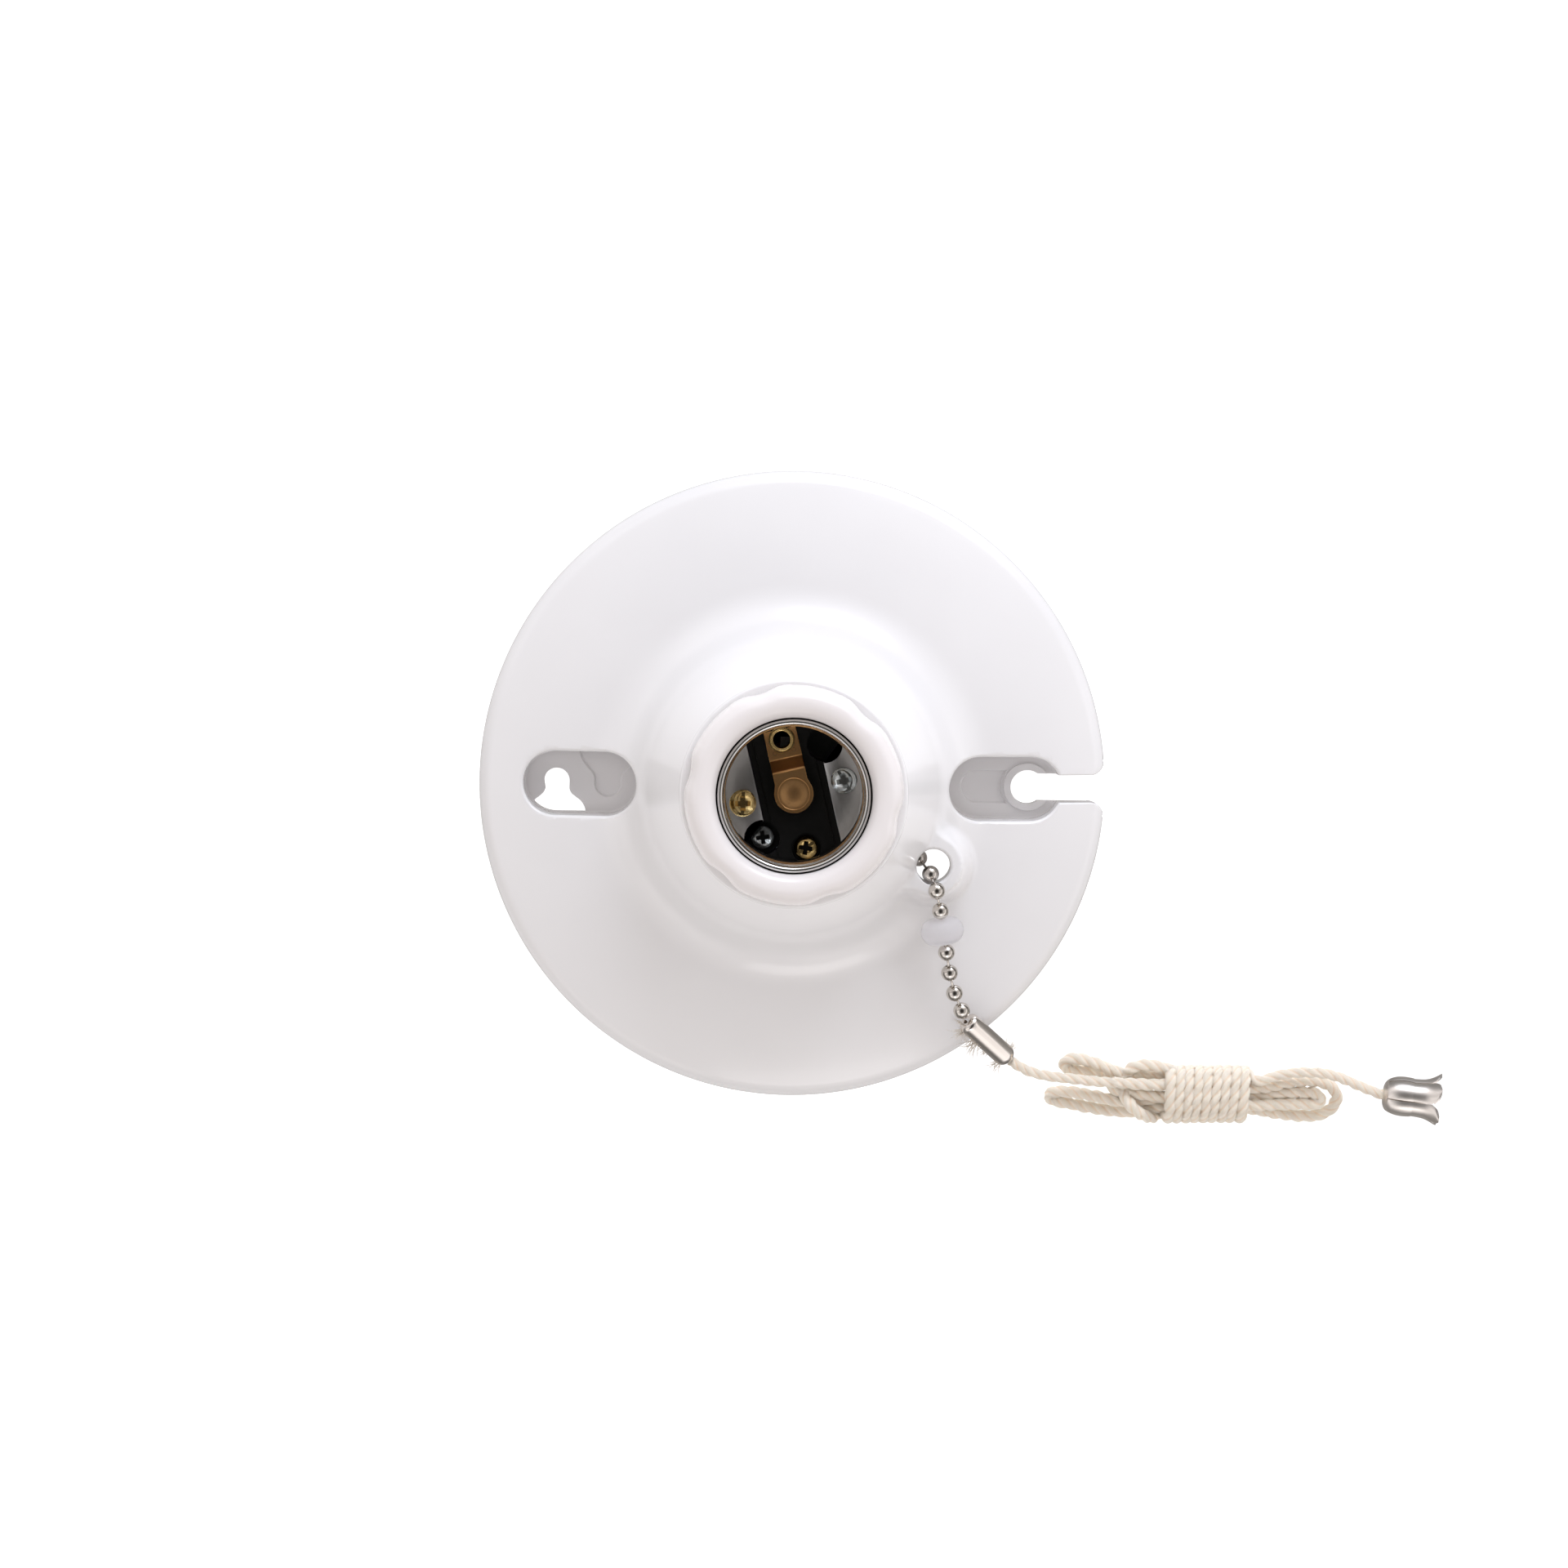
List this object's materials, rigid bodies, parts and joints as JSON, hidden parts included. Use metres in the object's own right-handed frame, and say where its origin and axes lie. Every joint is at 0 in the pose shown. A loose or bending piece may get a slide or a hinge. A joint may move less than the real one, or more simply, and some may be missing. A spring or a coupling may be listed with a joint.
{
  "type": "pull cord switch",
  "caption": "Round white box-mounted lampholder with a screw-shell socket, switched by a bead chain that ends in a nylon link, a metal sleeve, a wound cotton cord and a small bell.",
  "frame": {"origin": "centre of the flat back face that lies against the wall or ceiling box", "axes": "+Z out of the base towards the lamp, +X towards the mounting pocket that is open to the rim, the pull cord leaves towards -Y"},
  "size_m": [0.1809, 0.1212, 0.0473],
  "materials": {
    "white_plastic": "glossy cool white moulding",
    "warm_plastic": "glossy warm white, slightly translucent",
    "shell_metal": "rolled and lightly brushed",
    "phenolic": "black moulded phenolic with a low sheen",
    "fibre": "dark red vulcanised fibre",
    "brass": "plain brass, slightly dull",
    "bronze": "spring bronze with brushed lines",
    "zinc": "zinc plated",
    "steel": "plain spring steel",
    "nickel": "polished nickel plate",
    "nylon": "translucent natural nylon",
    "cotton": "cream twisted cotton"
  },
  "bodies": {
    "base": {"housing": "white_plastic", "socket_collar": "warm_plastic", "screw_shell": "shell_metal", "contact_block": "phenolic", "contact_rivet": "brass", "shell_screw_brass": "brass", "shell_screw_zinc": "zinc", "case_screw": "zinc", "block_screw": "brass", "switch_case": "phenolic", "line_contact": "brass", "load_contact": "brass", "return_spring": "steel", "axle_pin": "steel", "rear_plate": "fibre", "line_terminal": "brass", "neutral_terminal": "zinc"},
    "pull_chain": {"chain_bead_5": "nickel", "insulator_link": "nylon", "chain_lower": "nickel", "connector_sleeve": "nickel", "cord_lead": "cotton", "cord_hank": "cotton", "cord_tail": "cotton", "end_bell": "nickel"},
    "inner_chain": {"chain_inner": "nickel"},
    "bead_1": {"chain_bead_1": "nickel"},
    "bead_2": {"chain_bead_2": "nickel"},
    "bead_3": {"chain_bead_3": "nickel"},
    "bead_4": {"chain_bead_4": "nickel"},
    "lever": {"pull_lever": "steel", "pawl_spring": "bronze"},
    "rotor": {"rotor": "fibre", "rotor_contact": "brass"},
    "centre_contact": {"centre_contact": "bronze"},
    "line_screw": {"line_terminal_screw": "brass"},
    "neutral_screw": {"neutral_terminal_screw": "zinc"}
  },
  "joints": [
    {"name": "chain_pull", "type": "slide", "parent": "base", "child": "pull_chain", "axis": [0.253, -0.9675, 0], "range_m": [0, 0.0086], "stiffness_N_per_m": 400, "springref_m": -0.005},
    {"name": "chain_feed", "type": "slide", "parent": "base", "child": "inner_chain", "axis": [0.766, -0.6428, 0], "range_m": [0, 0.0086]},
    {"name": "bead_1_feed", "type": "slide", "parent": "base", "child": "bead_1", "axis": [0.6546, -0.6691, 0.3519], "range_m": [0, 0.00824]},
    {"name": "bead_2_feed", "type": "slide", "parent": "base", "child": "bead_2", "axis": [0.3555, -0.6321, 0.6885], "range_m": [0, 0.00886]},
    {"name": "bead_3_feed", "type": "slide", "parent": "base", "child": "bead_3", "axis": [0.266, -0.8975, 0.3517], "range_m": [0, 0.00768]},
    {"name": "bead_4_feed", "type": "slide", "parent": "base", "child": "bead_4", "axis": [0.2368, -0.9642, -0.1193], "range_m": [0, 0.00838]},
    {"name": "lever_swing", "type": "hinge", "parent": "base", "child": "lever", "pos_m": [0, 0, 0.014], "axis": [0, 0, -1], "range_deg": [0, 77.22]},
    {"name": "rotor_turn", "type": "hinge", "parent": "base", "child": "rotor", "pos_m": [0, 0, 0.0105], "axis": [0, 0, 1], "continuous": true},
    {"name": "contact_flex", "type": "hinge", "parent": "base", "child": "centre_contact", "pos_m": [-0.00271, 0.01128, 0.0304], "axis": [0.9724, 0.2334, 0], "range_deg": [0, 3.5], "stiffness_Nm_per_rad": 2, "springref_deg": -0.57},
    {"name": "line_screw_travel", "type": "slide", "parent": "base", "child": "line_screw", "axis": [0, 0, -1], "range_m": [0, 0.0025]},
    {"name": "neutral_screw_travel", "type": "slide", "parent": "base", "child": "neutral_screw", "axis": [0, 0, -1], "range_m": [0, 0.0025]}
  ],
  "couplings": [
    {"joint": "chain_feed", "follows": "chain_pull", "ratio": 1},
    {"joint": "bead_1_feed", "follows": "chain_pull", "ratio": 0.95822},
    {"joint": "bead_2_feed", "follows": "chain_pull", "ratio": 1.0302},
    {"joint": "bead_3_feed", "follows": "chain_pull", "ratio": 0.89265},
    {"joint": "bead_4_feed", "follows": "chain_pull", "ratio": 0.97442},
    {"joint": "lever_swing", "follows": "chain_pull", "rad_per_m": 156.62}
  ]
}
